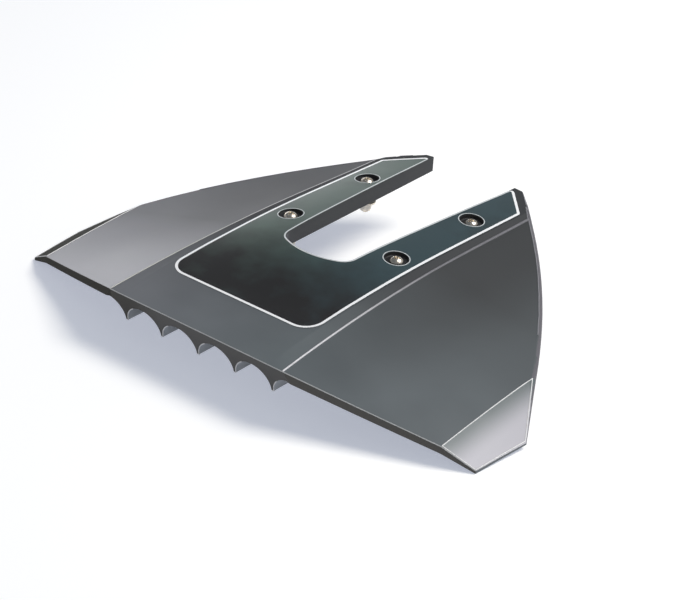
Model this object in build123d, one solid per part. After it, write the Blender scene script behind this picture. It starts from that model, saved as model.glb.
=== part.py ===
from build123d import *
import math
import os

os.makedirs("parts", exist_ok=True)

# Outboard hydrofoil, mm. +X starboard, +Y forward, +Z up.
# Origin: centre of the four-bolt pattern on the flat underside, which seats on the mounting plate.

# Overall size
overall_span = 521.0
overall_length = 381.5

# Fore and aft stations, from the bolt pattern's centre
arm_end_forward = 138.5
camber_start_forward = 4.0
seat_back = 113.0

# Centre deck
deck_thickness = 11.3
deck_crown = 5.6
crown_start_from_te = 50.0
crown_run = 110.0
deck_margin = 1.7
deck_rise = 2.8
deck_rise_run = 50.0
camber_drop = 16.8
crease_half_width_aft = 97.8
crease_half_width_front = 89.9

# Wings
wing_angle_aft = 17.0
wing_angle_front = 11.4
wing_root_thickness = 8.0
wing_outer_thickness = 6.6
tip_crease_inset = 34.0
tip_angle = 31.0
tip_edge_thickness = 1.5
nose_band_width = 4.0
nose_band_drop = 3.4
nose_under_width = 2.6
nose_under_rise = 2.4
nose_band_at_tip = 0.25
nose_band_at_arm = 0.35
nose_band_growth = 0.2
nose_under_start = 0.17

# Plan outline of one side: insets from the widest point, distances from the trailing edge
wing_te_sweep = 45.0
tip_aft_corner_inset = 6.5
tip_aft_corner_from_te = 56.0
tip_front_corner_from_te = 115.0
nose_outer_inset = 32.0
nose_outer_from_te = 169.0
nose_bulge = 10.4
arm_nose_half_width = 62.0
arm_nose_setback = 4.0

# Centre slot
slot_end_from_te = 141.8
slot_land = 13.4
slot_splay = 11.1
slot_corner_radius = 14.0
slot_end_bow = 11.5

# Fins and channels under the trailing edge
fin_count = 5
fin_pitch = 41.6
fin_tip_width = 2.6
fin_depth = 26.5
channel_ceiling = 8.2
te_rake = 0.25
fin_flat_length = 72.0
fin_bottom_rise = 0.037

# Seat pocket for the plate
seat_edge_from_bolt = 23.0
plate_thickness = 8.0

# Bolts and recesses
bolt_spacing_across = 122.0
bolt_spacing_along = 108.0
recess_diameter = 21.6
recess_floor_height = 10.4
recess_floor_radius = 1.2
hole_diameter = 8.8
shank_diameter = 6.35
thread_diameter = 6.0
head_diameter = 12.7
head_height = 3.8
head_rim_height = 0.6
driver_recess_diameter = 7.6
driver_recess_tip = 2.0
driver_recess_depth = 2.9
driver_wing_width = 1.6
thread_end_chamfer = 0.6
thread_overrun = 2.0

# Washers, nuts and their locking rings
washer_diameter = 19.0
washer_thickness = 1.6
washer_clearance = 0.3
nut_across_flats = 11.1
nut_height = 5.6
nut_collar_diameter = 10.0
nut_collar_height = 2.3
nut_collar_wall = 0.7
nut_chamfer = 0.5
insert_height = 2.0
thread_clearance = 0.05

# Decal
decal_thickness = 0.3
decal_edge_land = 9.7
decal_aft_from_te = 50.5
decal_aft_corner_radius = 19.0
decal_front_half_width = 46.0
decal_front_setback = 0.5
decal_front_corner_radius = 3.0
decal_outer_corner_setback = 37.9
decal_slot_margin = 0.6
decal_recess_margin = 0.5

# Derived places and widths
half_span = overall_span / 2
trailing_edge_back = overall_length - arm_end_forward
tip_crease_half_width = half_span - tip_crease_inset
tip_aft_corner = (half_span - tip_aft_corner_inset, tip_aft_corner_from_te)
tip_front_corner = (half_span, tip_front_corner_from_te)
nose_outer_end = (half_span - nose_outer_inset, nose_outer_from_te)
recess_inner_x = bolt_spacing_across / 2 - recess_diameter / 2
recess_outer_x = bolt_spacing_across / 2 + recess_diameter / 2
slot_half_width_aft = recess_inner_x - slot_land
slot_half_width_front = slot_half_width_aft + slot_splay
decal_half_width = recess_outer_x + decal_edge_land
deck_half_width = decal_half_width + deck_margin
seat_half_width = bolt_spacing_across / 2 + seat_edge_from_bolt
te_y = -trailing_edge_back
deck_z = deck_thickness
chord = overall_length
camber_run = trailing_edge_back + camber_start_forward
outline_overlap = 12.0
sheet_margin = 2.0
cut_reach = chord / 2


def crease_z(s):
    """Height of the crease line at s mm forward of the trailing edge."""
    fall = max(camber_run - s, 0.0) / camber_run
    return deck_z - deck_rise - camber_drop * fall ** 2


def deck_edge_z(s):
    """Height of the deck's side edges: the deck rises out of the trailing edge over its first stretch."""
    t = min(max(s / deck_rise_run, 0.0), 1.0)
    return crease_z(s) + deck_rise * t * (2.0 - t)


def crown_height(s):
    """How much the deck's middle stands above its side edges: none at the trailing edge."""
    t = min(max((s - crown_start_from_te) / crown_run, 0.0), 1.0)
    return deck_crown * t * t * (3.0 - 2.0 * t)


def crease_x(s):
    """Half width between the creases."""
    t = 1.0 - s / chord
    return crease_half_width_front + (crease_half_width_aft - crease_half_width_front) * t * t


def wing_fall(s):
    """Downward slope of the wing at a station."""
    t = s / chord
    return math.tan(math.radians(wing_angle_aft + (wing_angle_front - wing_angle_aft) * t))


def cross_section(s):
    """Closed section of the whole foil, port tip to starboard tip, at one station."""
    tip_fall = math.tan(math.radians(tip_angle))
    sheet_half_width = half_span + sheet_margin
    z_crease = crease_z(s)
    z_tip_crease = z_crease - wing_fall(s) * (tip_crease_half_width - crease_x(s))
    z_edge = z_tip_crease - tip_fall * (sheet_half_width - tip_crease_half_width)
    half = [
        (deck_half_width, deck_edge_z(s)),
        (crease_x(s), z_crease),
        (tip_crease_half_width, z_tip_crease),
        (sheet_half_width, z_edge),
        (sheet_half_width, z_edge - tip_edge_thickness),
        (tip_crease_half_width, z_tip_crease - wing_outer_thickness),
        (crease_x(s), z_crease - wing_root_thickness),
    ]
    other = [(-x, z) for x, z in reversed(half)]
    y = te_y + s
    middle = (0, y, deck_edge_z(s) + 2.0 * crown_height(s))
    outline = [(x, y, z) for x, z in half + other]
    return make_face(Polyline(outline) + Bezier(outline[-1], middle, outline[0]))


# Cambered sheet: the centre deck, both wings and both tips as one lofted skin
stations = [-10.0, 0.0, 22.0, 45.0, 75.0, 115.0, 160.0, 210.0, 262.0, 315.0, chord + 8.0]
sheet = loft([cross_section(s) for s in stations])


def outline_side(side):
    """Half of the plan outline, from the trailing edge round the tip to the arm."""
    def at(x, s):
        return (side * x, te_y + s)

    nose_start = at(arm_nose_half_width, chord - arm_nose_setback)
    nose_end = at(*nose_outer_end)
    run = (nose_end[0] - nose_start[0], nose_end[1] - nose_start[1])
    length = math.hypot(*run)
    out = (-side * run[1] / length, side * run[0] / length)
    middle = (
        (nose_start[0] + nose_end[0]) / 2 + out[0] * nose_bulge,
        (nose_start[1] + nose_end[1]) / 2 + out[1] * nose_bulge,
    )
    return [
        Line(at(0, 0), at(crease_half_width_aft, 0)),
        Line(at(crease_half_width_aft, 0), at(tip_crease_half_width, wing_te_sweep)),
        Line(at(tip_crease_half_width, wing_te_sweep), at(*tip_aft_corner)),
        Line(at(*tip_aft_corner), at(*tip_front_corner)),
        Line(at(*tip_front_corner), nose_end),
        ThreePointArc(nose_end, middle, nose_start),
        Line(nose_start, at(arm_nose_half_width - arm_nose_setback, chord)),
        Line(at(arm_nose_half_width - arm_nose_setback, chord), at(0, chord)),
    ]


plan = make_face(outline_side(1) + outline_side(-1))
plan_prism = extrude(plan.moved(Location((0, 0, -cut_reach / 2))), cut_reach)


def slot_face(margin):
    """The U of the centre slot, with a slack all round."""
    aft = te_y + slot_end_from_te - margin
    front = te_y + chord + outline_overlap
    splay = (slot_half_width_front - slot_half_width_aft) / (chord - slot_end_from_te)
    far = slot_half_width_front + splay * outline_overlap + margin
    near = slot_half_width_aft + margin
    face = make_face([
        ThreePointArc((-near, aft + slot_end_bow), (0, aft), (near, aft + slot_end_bow)),
        Line((near, aft + slot_end_bow), (far, front)),
        Line((far, front), (-far, front)),
        Line((-far, front), (-near, aft + slot_end_bow)),
    ])
    corners = face.vertices().sort_by(Axis.Y)[:2]
    return fillet(corners, slot_corner_radius + margin)


slot_cut = extrude(slot_face(0).moved(Location((0, 0, -cut_reach / 2))), cut_reach)

# Fin block under the trailing edge, then the arched channels between the fins
te_z = crease_z(0)
tip_z = te_z - fin_depth
ceiling_z = te_z - channel_ceiling
fins_end = trailing_edge_back - seat_back
ceiling_slope = (crease_z(fins_end) - te_z) / fins_end
fin_nose_z = tip_z + fin_bottom_rise * fin_flat_length
block_cover = 2.5
block_half_width = fin_pitch * fin_count / 2
back = te_y - outline_overlap
block_profile = make_face(
    Polyline(
        (0, back, tip_z - fin_bottom_rise * outline_overlap),
        (0, te_y + fin_flat_length, fin_nose_z),
    ) + ThreePointArc(
        (0, te_y + fin_flat_length, fin_nose_z),
        (0, te_y + fin_flat_length + (fins_end - fin_flat_length) * 0.62, fin_nose_z * 0.70),
        (0, te_y + fins_end, ceiling_z + ceiling_slope * fins_end),
    ) + Polyline(
        (0, te_y + fins_end, ceiling_z + ceiling_slope * fins_end),
        (0, te_y + fins_end, ceiling_z + ceiling_slope * fins_end + block_cover),
        (0, back, ceiling_z - ceiling_slope * outline_overlap + block_cover),
        (0, back, tip_z - fin_bottom_rise * outline_overlap),
    )
)
fin_block = extrude(block_profile, block_half_width, dir=(1, 0, 0), both=True)

channel_half_width = (fin_pitch - fin_tip_width) / 2
channel_height = ceiling_z - tip_z
channel_face = make_face([
    EllipticalCenterArc((0, 0), channel_half_width, channel_height, start_angle=0, arc_size=180),
    Line((-channel_half_width, 0), (-channel_half_width, -channel_height)),
    Line((-channel_half_width, -channel_height), (channel_half_width, -channel_height)),
    Line((channel_half_width, -channel_height), (channel_half_width, 0)),
])
channel_run = fins_end + 4 * outline_overlap
for i in range(fin_count + 1):
    x = (i - fin_count / 2) * fin_pitch
    start = te_y - 2 * outline_overlap
    z = tip_z - ceiling_slope * 2 * outline_overlap
    place = Plane(origin=(x, start, z), x_dir=(-1, 0, 0), z_dir=(0, 1, 0))
    fin_block -= extrude(place * channel_face, channel_run, dir=(0, 1, ceiling_slope))

# Flat seat: a pocket clears the plate, and a boss fills down to the same plane
seat_front = arm_end_forward + outline_overlap
seat_box = Box(
    2 * seat_half_width, seat_back + seat_front, cut_reach / 2,
    align=(Align.CENTER, Align.MIN, Align.MAX),
).moved(Location((0, -seat_back, 0)))
boss = Box(
    2 * seat_half_width, seat_back + seat_front, recess_floor_height / 2,
    align=(Align.CENTER, Align.MIN, Align.MIN),
).moved(Location((0, -seat_back, 0)))

# Raked face of the trailing edge
rake_reach = 2 * fin_depth + 2 * deck_thickness
rake_tool = extrude(
    make_face(Polyline([
        (0, te_y - te_rake * rake_reach, te_z + rake_reach),
        (0, te_y + te_rake * rake_reach, te_z - rake_reach),
        (0, te_y - rake_reach, te_z - rake_reach),
        (0, te_y - rake_reach, te_z + rake_reach),
    ], close=True)),
    block_half_width + fin_pitch, dir=(1, 0, 0), both=True,
)


def surface_z(x, s, under=False):
    """Height of the sheet's top, or of its underside, at a half width and a station."""
    on_wing = min(x, tip_crease_half_width) - crease_x(s)
    on_tip = max(x - tip_crease_half_width, 0.0)
    wing_share = max(on_wing, 0.0) / (tip_crease_half_width - crease_x(s))
    tip_share = on_tip / (half_span + sheet_margin - tip_crease_half_width)
    drop = wing_root_thickness + (wing_outer_thickness - wing_root_thickness) * wing_share
    drop += (tip_edge_thickness - wing_outer_thickness) * tip_share
    if on_wing >= 0.0:
        z = crease_z(s) - wing_fall(s) * on_wing - math.tan(math.radians(tip_angle)) * on_tip
    elif under:
        z = crease_z(s)
    else:
        t = max(x - deck_half_width, 0.0) / (crease_x(s) - deck_half_width)
        z = deck_edge_z(s) + (crease_z(s) - deck_edge_z(s)) * t
        z += crown_height(s) * max(1.0 - (x / deck_half_width) ** 2, 0.0)
    return z - drop if under else z


# Path of the leading edge: an arc from the arm, then straight to the tip's front corner
arc_start = (arm_nose_half_width, chord - arm_nose_setback)
arc_chord = math.dist(arc_start, nose_outer_end)
arc_radius = (arc_chord ** 2 / 4 + nose_bulge ** 2) / (2 * nose_bulge)
arc_half_angle = math.asin(arc_chord / 2 / arc_radius)
chord_heading = math.atan2(nose_outer_end[1] - arc_start[1], nose_outer_end[0] - arc_start[0])
arc_centre = (
    (arc_start[0] + nose_outer_end[0]) / 2 + (arc_radius - nose_bulge) * math.sin(chord_heading),
    (arc_start[1] + nose_outer_end[1]) / 2 - (arc_radius - nose_bulge) * math.cos(chord_heading),
)


def nose_point(t):
    """Point on the leading edge and its outward heading: the arc for t up to 1, the tip's front to 2."""
    if t <= 1.0:
        heading = chord_heading + arc_half_angle * (1.0 - 2.0 * t) + math.pi / 2
        out = (math.cos(heading), math.sin(heading))
        return (arc_centre[0] + arc_radius * out[0], arc_centre[1] + arc_radius * out[1]), out
    along = (tip_front_corner[0] - nose_outer_end[0], tip_front_corner[1] - nose_outer_end[1])
    length = math.hypot(*along)
    point = (nose_outer_end[0] + (t - 1.0) * along[0], nose_outer_end[1] + (t - 1.0) * along[1])
    return point, (-along[1] / length, along[0] / length)


def nose_cut(t, side, under):
    """Section of the tool that rounds the leading edge, above or under the sheet."""
    (x, s), (nx, ns) = nose_point(t)
    first = nose_under_start if under else 0.0
    grown = min(max((t - first) / nose_band_growth, 0.0), 1.0)
    share = nose_band_at_arm + (1.0 - nose_band_at_arm) * grown
    share -= (1.0 - nose_band_at_tip) * max(t - 1.0, 0.0)
    width = share * (nose_under_width if under else nose_band_width)
    drop = share * (nose_under_rise if under else nose_band_drop)
    up = -1.0 if under else 1.0
    edge_z = surface_z(x, s, under)
    clear = 6.0

    def at(inward, depth):
        lean = surface_z(x - nx * width, s - ns * width, under) - edge_z
        z = edge_z + lean * inward / width - up * depth
        return (side * (x - nx * inward), te_y + s - ns * inward, z)

    high = at(1.25 * width, -0.13 * drop)
    middle = at(0.40 * width, 0.30 * drop)
    low = at(-0.30 * width, 1.50 * drop)
    low_out = at(-0.30 * width, -clear)
    high_out = at(1.25 * width, -clear)
    return make_face([
        ThreePointArc(high, middle, low),
        Line(low, low_out),
        Line(low_out, high_out),
        Line(high_out, high),
    ])


nose_tools = []
arc_steps = 10
for side in (1, -1):
    for under in (False, True):
        first = nose_under_start if under else -0.03
        marks = [first + (1.0 - first) * i / arc_steps for i in range(arc_steps)]
        marks += [1.0, 1.35, 1.7, 2.04]
        nose_tools.append(loft([nose_cut(t, side, under) for t in marks], ruled=True))

body = (sheet + boss - seat_box) + fin_block
body = body & plan_prism
body = body - slot_cut
body = body - rake_tool
for tool in nose_tools:
    body = body - tool

# Bolt recesses and holes
bolt_places = {
    "port_aft": (-bolt_spacing_across / 2, -bolt_spacing_along / 2),
    "port_front": (-bolt_spacing_across / 2, bolt_spacing_along / 2),
    "starboard_aft": (bolt_spacing_across / 2, -bolt_spacing_along / 2),
    "starboard_front": (bolt_spacing_across / 2, bolt_spacing_along / 2),
}
recess_cutter = fillet(
    Cylinder(recess_diameter / 2, cut_reach, align=(Align.CENTER, Align.CENTER, Align.MIN))
    .faces().sort_by(Axis.Z)[0].edges(), recess_floor_radius,
)
for x, y in bolt_places.values():
    body -= recess_cutter.moved(Location((x, y, recess_floor_height)))
    body -= Cylinder(hole_diameter / 2, cut_reach).moved(Location((x, y, 0)))

# Decal: a thin layer of the deck's own surface inside the decal's outline
decal_front_y = te_y + chord - decal_front_setback
decal_outer_y = te_y + chord - decal_outer_corner_setback
decal_outline = make_face(Polyline([
    (-decal_half_width, te_y + decal_aft_from_te),
    (decal_half_width, te_y + decal_aft_from_te),
    (decal_half_width, decal_outer_y),
    (decal_front_half_width, decal_front_y),
    (-decal_front_half_width, decal_front_y),
    (-decal_half_width, decal_outer_y),
], close=True))
decal_outline = fillet(decal_outline.vertices().sort_by(Axis.Y)[:2], decal_aft_corner_radius)
decal_outline -= slot_face(decal_slot_margin)
decal_outline = fillet(decal_outline.vertices().sort_by(Axis.Y)[-4:], decal_front_corner_radius)
decal_prism = extrude(decal_outline.moved(Location((0, 0, -cut_reach / 2))), cut_reach)
deck_skin = sheet.moved(Location((0, 0, decal_thickness))) - sheet
decal = deck_skin & decal_prism
for x, y in bolt_places.values():
    ring = Cylinder(recess_diameter / 2 + decal_recess_margin, cut_reach)
    decal -= ring.moved(Location((x, y, 0)))

# Machine screw: domed head with a tapering cross recess, plain shank, thread end with a chamfer
grip = recess_floor_height + plate_thickness
washer_top = -plate_thickness - washer_clearance
nut_top = washer_top - washer_thickness
thread_end = nut_top - nut_height - nut_collar_height - thread_overrun
head_profile = make_face([
    Line((0, 0), (head_diameter / 2, 0)),
    Line((head_diameter / 2, 0), (head_diameter / 2, head_rim_height)),
    ThreePointArc(
        (head_diameter / 2, head_rim_height),
        (head_diameter * 0.36, head_height * 0.72),
        (0, head_height),
    ),
    Line((0, head_height), (0, 0)),
])
head = revolve(Plane.XZ * head_profile, Axis.Z)
recess_slope = (driver_recess_diameter - driver_recess_tip) / 2 / driver_recess_depth
taper_height = driver_recess_depth + head_rim_height
driver_taper = Cone(
    driver_recess_tip / 2, driver_recess_tip / 2 + recess_slope * taper_height, taper_height,
    align=(Align.CENTER, Align.CENTER, Align.MIN),
).moved(Location((0, 0, head_height - driver_recess_depth)))
driver_wing = Box(2 * head_diameter, driver_wing_width, 4 * head_height)
driver_cross = driver_wing + Rot(0, 0, 90) * driver_wing
head -= driver_cross & driver_taper
shank = Cylinder(shank_diameter / 2, grip, align=(Align.CENTER, Align.CENTER, Align.MAX))
thread = Cylinder(
    thread_diameter / 2, recess_floor_height - thread_end,
    align=(Align.CENTER, Align.CENTER, Align.MAX),
)
thread = chamfer(thread.faces().sort_by(Axis.Z)[0].edges(), thread_end_chamfer)
bolt = head + shank + thread

# Washer
washer = Cylinder(
    washer_diameter / 2, washer_thickness, align=(Align.CENTER, Align.CENTER, Align.MAX)
)
washer -= Cylinder(shank_diameter / 2 + washer_clearance, 4 * washer_thickness)

# Lock nut: hexagon with chamfered corners and a thin collar that holds the plastic ring
hexagon = extrude(RegularPolygon(nut_across_flats / 2, 6, major_radius=False), -nut_height)
corner_cone = Cylinder(
    nut_across_flats / 2 / math.cos(math.radians(30)), nut_height,
    align=(Align.CENTER, Align.CENTER, Align.MAX),
)
corner_cone = chamfer(corner_cone.edges().filter_by(GeomType.CIRCLE), nut_chamfer)
collar = Cylinder(
    nut_collar_diameter / 2, nut_collar_height, align=(Align.CENTER, Align.CENTER, Align.MAX)
).moved(Location((0, 0, -nut_height)))
nut = (hexagon & corner_cone) + collar
nut -= Cylinder(thread_diameter / 2 + thread_clearance, 6 * nut_height)
insert_radius = nut_collar_diameter / 2 - nut_collar_wall
insert_bottom = -nut_height - insert_height
nut -= Cylinder(
    insert_radius, nut_collar_height + 1.0, align=(Align.CENTER, Align.CENTER, Align.MAX)
).moved(Location((0, 0, -nut_height)))
insert = Cylinder(
    insert_radius, insert_height, align=(Align.CENTER, Align.CENTER, Align.MAX)
).moved(Location((0, 0, -nut_height)))
insert -= Cylinder(thread_diameter / 2 + thread_clearance, 6 * nut_height)

export_step(body, "parts/foil_body.step")
export_step(decal, "parts/deck_decal.step")
for name, (x, y) in bolt_places.items():
    export_step(bolt.moved(Location((x, y, recess_floor_height))), f"parts/bolt_{name}.step")
    export_step(washer.moved(Location((x, y, washer_top))), f"parts/washer_{name}.step")
    export_step(nut.moved(Location((x, y, nut_top))), f"parts/lock_nut_{name}.step")
    export_step(insert.moved(Location((x, y, nut_top))), f"parts/nut_insert_{name}.step")
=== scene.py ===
import math

import bmesh
import bpy
from mathutils import Matrix, Vector


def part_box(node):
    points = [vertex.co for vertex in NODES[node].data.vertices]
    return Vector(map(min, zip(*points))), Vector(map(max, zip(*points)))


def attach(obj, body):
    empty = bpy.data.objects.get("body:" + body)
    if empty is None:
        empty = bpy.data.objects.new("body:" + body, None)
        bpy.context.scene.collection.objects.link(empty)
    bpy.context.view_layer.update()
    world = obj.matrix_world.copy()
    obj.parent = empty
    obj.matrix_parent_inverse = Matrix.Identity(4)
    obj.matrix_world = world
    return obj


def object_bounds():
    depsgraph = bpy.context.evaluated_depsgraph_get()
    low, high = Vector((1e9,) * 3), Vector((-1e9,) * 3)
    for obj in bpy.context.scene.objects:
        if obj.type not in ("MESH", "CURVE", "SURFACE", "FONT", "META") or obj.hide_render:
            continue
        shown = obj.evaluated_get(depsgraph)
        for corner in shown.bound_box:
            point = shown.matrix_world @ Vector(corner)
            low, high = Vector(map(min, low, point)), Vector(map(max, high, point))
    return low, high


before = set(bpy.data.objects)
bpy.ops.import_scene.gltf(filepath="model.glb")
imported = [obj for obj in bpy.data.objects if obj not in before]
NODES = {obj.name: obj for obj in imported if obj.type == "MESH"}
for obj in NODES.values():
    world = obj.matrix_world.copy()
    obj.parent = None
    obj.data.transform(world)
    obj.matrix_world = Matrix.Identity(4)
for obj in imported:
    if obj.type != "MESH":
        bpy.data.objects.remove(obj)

bl_info = {
    "name": "Outboard Hydrofoil",
    "version": (1, 0, 0),
    "blender": (4, 5, 0),
    "location": "View3D > Sidebar > Hydrofoil",
    "description": "Finishes a moulded hydrofoil: body, printed decal, crease beads, fasteners and stage",
    "category": "Object",
}

MM = 0.001
CAD_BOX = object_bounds()
BODY = NODES["foil_body"]
DECAL = NODES["deck_decal"]
CORNERS = ("port_aft", "port_front", "starboard_aft", "starboard_front")

# The trailing edge's place and the length ahead of it, from the body's own box
BODY_LOW, BODY_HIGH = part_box("foil_body")
TE_Y = BODY_LOW.y
CHORD = BODY_HIGH.y - BODY_LOW.y

# Plan of the creases and of the tips, the same lines that the body is lofted and cut to.
# A pair is a half width and a distance ahead of the trailing edge.
CREASE_HALF_AFT = 97.8 * MM
CREASE_HALF_FRONT = 89.9 * MM
CREASE_STEP = 0.5 * MM
TIP_CREASE_HALF = 226.5 * MM
TE_SWEEP = 45.0 * MM
TIP_AFT = (254.0 * MM, 56.0 * MM)
TIP_FRONT = (260.5 * MM, 115.0 * MM)
NOSE_OUTER_END = (228.5 * MM, 169.0 * MM)
NOSE_ARM_END = (62.0 * MM, 377.5 * MM)
NOSE_BULGE = 10.4 * MM
NOSE_BAND = 4.0 * MM
ARM_SIDE = 60.0 * MM

# Height of the channels' roofs, and half width of the row of fins
CHANNEL_TOP = -18.0 * MM
FINS_HALF = 90.0 * MM

# The slot's half width at its closed end and at the arms' ends, and where that closed end is
SLOT_HALF_AFT = 36.8 * MM
SLOT_HALF_FRONT = 47.9 * MM
SLOT_END = 141.8 * MM
SLOT_MARGIN_AFT = 4.0 * MM
SLOT_MARGIN_SIDE = 2.0 * MM

# Radius of a screw recess, and of the decal's hole round it
RECESS_RADIUS = 10.8 * MM
RECESS_REACH = 11.4 * MM

# Limits of a face's normal that tell the body's faces apart; the shader sees a smoothed normal
FACES_UP = 0.5
FACES_AHEAD = 0.2
FACES_AFT = -0.75
SHADED_AFT = -0.5
LIES_FLAT = 0.9
LEANS_AHEAD = 0.1
SLANT = 0.3

# How far ahead the trailing edge's line may run, and the slack at the limit of a place
TE_REACH = 1.5 * TE_SWEEP
EDGE_TOLERANCE = 0.1 * MM

# Beads and rims: distance inside the body's edge, steps along them, and sides of their round section
EDGE_INSET = 0.6 * MM
CREASE_STEPS = 24
RIM_STEPS = 8
BEAD_SIDES = 10
SMOOTH_ANGLE = math.radians(50)

# The tip rim's corners, a little inside the tip's own
TIP_RIM = (
    (TIP_CREASE_HALF, TE_SWEEP + 2.0 * EDGE_INSET),
    (TIP_AFT[0] - EDGE_INSET, TIP_AFT[1] + EDGE_INSET),
    (TIP_FRONT[0] - 2.5 * EDGE_INSET, TIP_FRONT[1]),
    (TIP_CREASE_HALF, NOSE_OUTER_END[1] - 4.0 * EDGE_INSET),
    (TIP_CREASE_HALF, TE_SWEEP + 2.0 * EDGE_INSET),
)

# Printed lines: longest step round the decal, start above it, margin at its edge, and lift off it
PRINT_STEP = 5.0 * MM
PRINT_DROP = 0.5 * MM
PRINT_MARGIN = 0.1 * MM
PRINT_LIFT = 0.02 * MM
RING_SIDES = 64

# Points closer than this are one, and rays start from above the whole object
MERGE_DISTANCE = 1e-6
RAY_START = 100.0 * MM

# Sizes of the patterns in the finishes
NYLON_CLOUD = 70.0 * MM
NYLON_GRAIN = 1.2 * MM
VINYL_CLOUD = 28.0 * MM
VINYL_PEEL = 3.0 * MM
INK_MOTTLE = 2.0 * MM
BEAD_SCUFF = 6.0 * MM
STEEL_SMUDGE = 2.0 * MM
RING_CLOUD = 3.0 * MM

# A noise texture's values lie mostly between these two
NOISE_LOW = 0.3
NOISE_HIGH = 0.7

# Sockets of a colour mix, which share their names with those of other kinds
MIX_A = 6
MIX_B = 7
MIX_RESULT = 2

# Stage: the floor, what it sends back and glows with where it is seen, and the sky low down and high up
FLOOR_SIZE = 12.0
FLOOR_GAP = 0.2 * MM
FLOOR_SEEN = "#e6e2d6"
FLOOR_GLOW = "#a2a7b5"
SKY_LOW = "#f4f5fa"
SKY_HIGH = "#70767e"

# Soft lights: place, target, size, power and colour
LIGHTS = {
    "key_light": ((1.1, 0.9, 2.2), (0.0, 0.0, 0.0), (1.2, 1.2), 62.0, (1.0, 0.99, 0.98)),
    "port_light": ((-1.85, 1.3, 0.27), (-0.12, 0.0, 0.0), (1.4, 0.34), 4.0, (0.98, 0.99, 1.0)),
}

# Camera, fitted to the photographed view
CAMERA_PLACE = (1.01065, -1.32397, 0.80865)
CAMERA_HEADING = 0.6703
CAMERA_TILT = 0.4871
CAMERA_ROLL = 0.0648
CAMERA_LENS = 107.9
CAMERA_SENSOR = 36.0
CAMERA_REACH = 50.0


def linear(hex_colour):
    """Linear RGBA of an sRGB hex colour."""
    text = hex_colour.lstrip("#")
    parts = [int(text[i:i + 2], 16) / 255 for i in (0, 2, 4)]
    return tuple(c / 12.92 if c <= 0.04045 else ((c + 0.055) / 1.055) ** 2.4 for c in parts) + (1.0,)


def length_property(name, description, default_mm):
    """A length that the sidebar shows, from its size in millimetres."""
    return bpy.props.FloatProperty(
        name=name, description=description, default=default_mm * MM,
        min=0.0, unit="LENGTH", subtype="DISTANCE", precision=5,
    )


def colour_property(name, description, default_hex):
    """A colour that the sidebar shows, from its sRGB hex value."""
    return bpy.props.FloatVectorProperty(
        name=name, description=description, default=linear(default_hex),
        size=4, min=0.0, max=1.0, subtype="COLOR",
    )


class HydrofoilSizes(bpy.types.PropertyGroup):
    """Sizes of the pieces and lines that the scene adds."""

    bead_radius: length_property("Crease bead", "Radius of the half-sunk bead on each crease", 0.8)
    bead_end_radius: length_property("Crease bead, front", "Its radius where it reaches the arm", 1.35)
    rim_radius: length_property("Rim bead", "Radius of the bead round each tip and channel", 0.5)
    line_radius: length_property("Edge line", "Radius of the fine line on the trailing edge", 0.38)
    nose_line_radius: length_property("Nose line", "Radius of the line along the leading edge's top", 0.45)
    border_width: length_property("Border", "Width of the decal's printed outer border", 2.5)
    slot_line_width: length_property("Slot line", "Width of the printed line beside the slot", 1.5)
    ring_width: length_property("Recess ring", "Width of the printed ring round each recess", 0.8)
    print_height: length_property("Print height", "Thickness of the printed lines", 0.06)


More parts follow.
